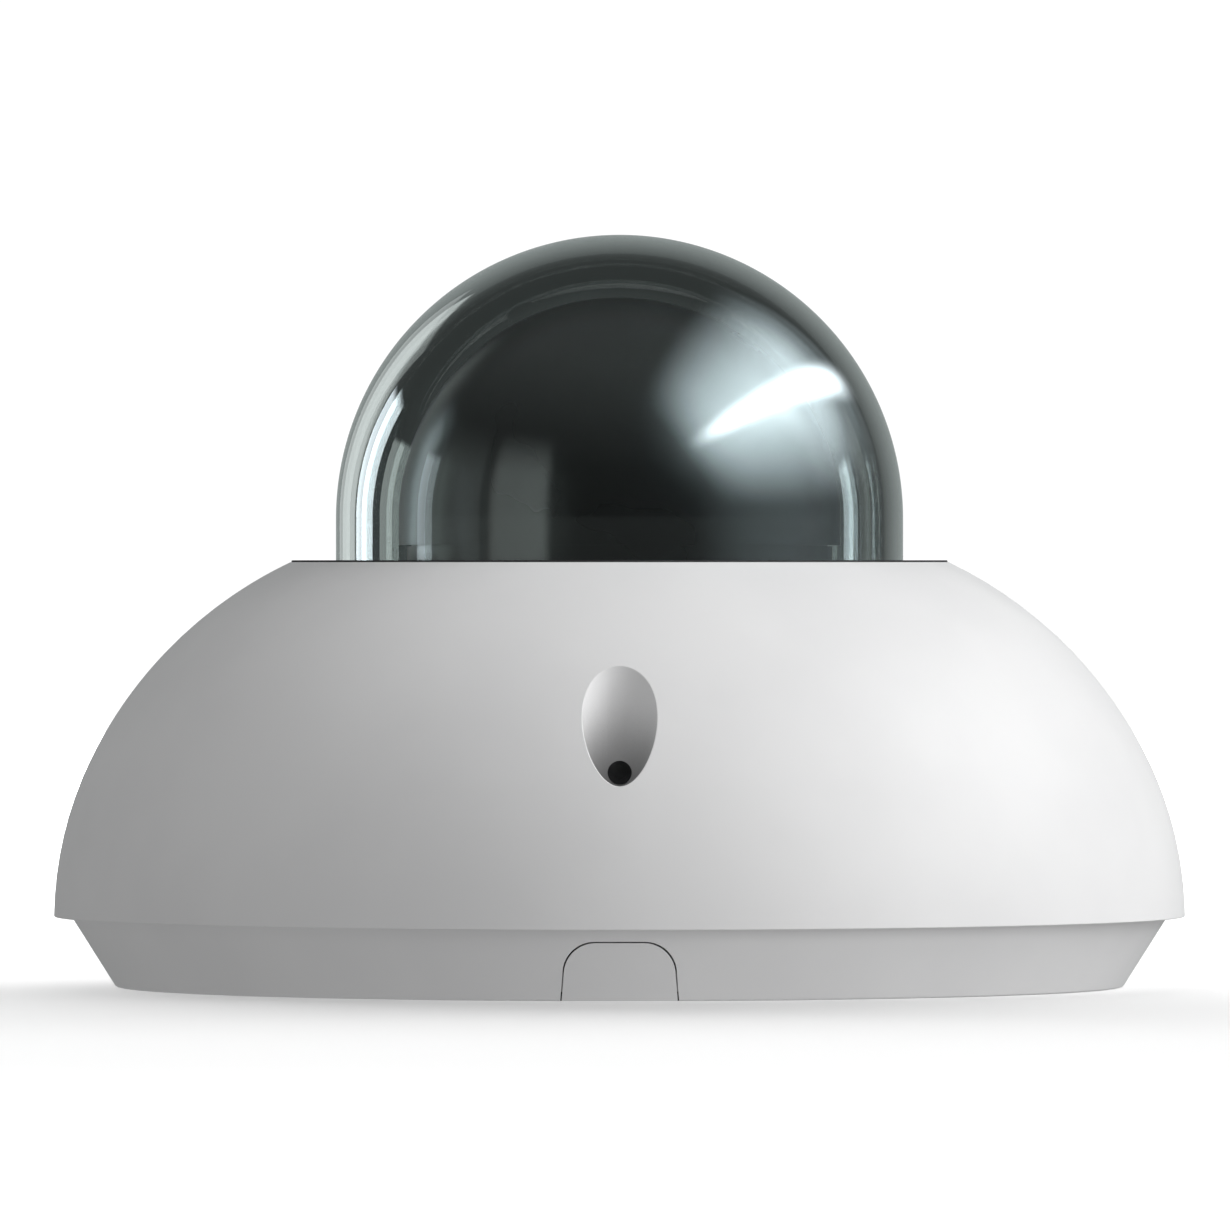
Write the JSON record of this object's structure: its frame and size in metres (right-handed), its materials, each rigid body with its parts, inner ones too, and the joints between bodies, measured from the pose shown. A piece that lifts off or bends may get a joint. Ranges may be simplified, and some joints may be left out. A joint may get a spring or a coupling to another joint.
{
  "type": "dome security camera",
  "caption": "Compact wall or ceiling dome security camera: white domed cover with a clear bubble, over a lens module that pans, tilts and rolls.",
  "frame": {"origin": "centre of the base's underside", "axes": "+Z from the mounting face towards the bubble; -Y towards the side with the cable notch; the lens looks to +Y and up at rest"},
  "size_m": [0.11, 0.11, 0.0731],
  "materials": {
    "white_paint": "satin powder coat",
    "black_trim": "satin",
    "clear_dome": "polished clear polycarbonate",
    "black_liner": "satin",
    "black_rubber": "matt",
    "grey_foam": "closed-cell foam",
    "zinc_screw": "zinc plated",
    "dark_screw": "black oxide",
    "chassis_grey": "fine moulded texture",
    "board_green": "solder mask",
    "chip_black": "moulded",
    "heat_aluminium": "anodised",
    "jack_shield": "tin plated",
    "gold_contact": "gold plated",
    "can_aluminium": "drawn",
    "ferrite": "sintered",
    "connector_cream": "moulded",
    "light_clear": "clear acrylic",
    "led_body": "clear epoxy",
    "mic_can": "pressed",
    "lens_black": "black anodised",
    "lens_glass": "coated",
    "sensor_glass": "polished",
    "filter_red": "interference coated",
    "card_black": "moulded",
    "button_grey": "moulded"
  },
  "bodies": {
    "base": {"base_tray": "white_paint", "wall_gasket": "grey_foam", "cover_seal": "black_rubber", "cable_grommet": "black_rubber", "chassis_frame": "chassis_grey", "chassis_screws": "zinc_screw", "main_board": "board_green", "board_screws": "zinc_screw", "network_jack": "jack_shield", "network_jack_contacts": "gold_contact", "network_magnetics": "chip_black", "poe_transformer": "ferrite", "processor_chip": "chip_black", "heat_sink": "heat_aluminium", "capacitors": "can_aluminium", "memory_chips": "chip_black", "surface_mount_parts": "ferrite", "ribbon_connector": "connector_cream", "card_socket": "jack_shield", "reset_switch": "jack_shield", "status_light": "led_body", "light_pipe": "light_clear", "microphone": "mic_can", "microphone_boot": "black_rubber", "pan_base": "chassis_grey", "pan_retainer": "chassis_grey", "retainer_screws": "dark_screw"},
    "cover": {"cover_shell": "white_paint", "trim_ring": "black_trim", "dome_bubble": "clear_dome", "bubble_gasket": "black_rubber", "bubble_clamp_ring": "chassis_grey", "clamp_screws": "zinc_screw", "cover_set_screws": "dark_screw"},
    "pan": {"pan_turntable": "black_liner", "yoke_arm_left": "chassis_grey", "yoke_arm_right": "chassis_grey", "yoke_screws": "dark_screw", "inner_liner": "black_liner"},
    "tilt": {"tilt_cradle": "chassis_grey", "tilt_lock_screws": "dark_screw"},
    "roll": {"lens_mount": "lens_black", "roll_clip": "chassis_grey", "lens_barrel": "lens_black", "lens_front_glass": "lens_glass", "lens_rear_glass": "lens_glass", "lens_lock_ring": "lens_black", "sensor_board": "board_green", "image_sensor": "sensor_glass", "sensor_board_screws": "dark_screw", "sensor_connector": "connector_cream", "ir_cut_motor": "chip_black"},
    "filter": {"ir_filter_frame": "chip_black", "ir_cut_glass": "filter_red", "clear_glass": "lens_glass"},
    "plug": {"cable_notch_plug": "white_paint"},
    "card": {"memory_card": "card_black"},
    "button": {"reset_button": "button_grey"}
  },
  "joints": [
    {"name": "cover_lift", "type": "slide", "parent": "base", "child": "cover", "axis": [0, 0, 1], "range_m": [0, 0.08]},
    {"name": "pan", "type": "hinge", "parent": "base", "child": "pan", "pos_m": [0, 0, 0.0455], "axis": [0, 0, 1], "range_deg": [-175, 175]},
    {"name": "tilt", "type": "hinge", "parent": "pan", "child": "tilt", "pos_m": [0, 0, 0.0455], "axis": [1, 0, 0], "range_deg": [-25, 25]},
    {"name": "lens_roll", "type": "hinge", "parent": "tilt", "child": "roll", "pos_m": [0, 0, 0.0455], "axis": [0, 0.766, 0.6428], "range_deg": [-175, 175]},
    {"name": "filter_slide", "type": "slide", "parent": "roll", "child": "filter", "axis": [1, 0, 0], "range_m": [0, 0.005]},
    {"name": "card_slide", "type": "slide", "parent": "base", "child": "card", "axis": [1, 0, 0], "range_m": [0, 0.012]},
    {"name": "plug_pull", "type": "slide", "parent": "base", "child": "plug", "axis": [0, -1, 0], "range_m": [0, 0.012]},
    {"name": "reset_press", "type": "slide", "parent": "base", "child": "button", "axis": [1, 0, 0], "range_m": [0, 0.0004], "stiffness_N_per_m": 800}
  ]
}
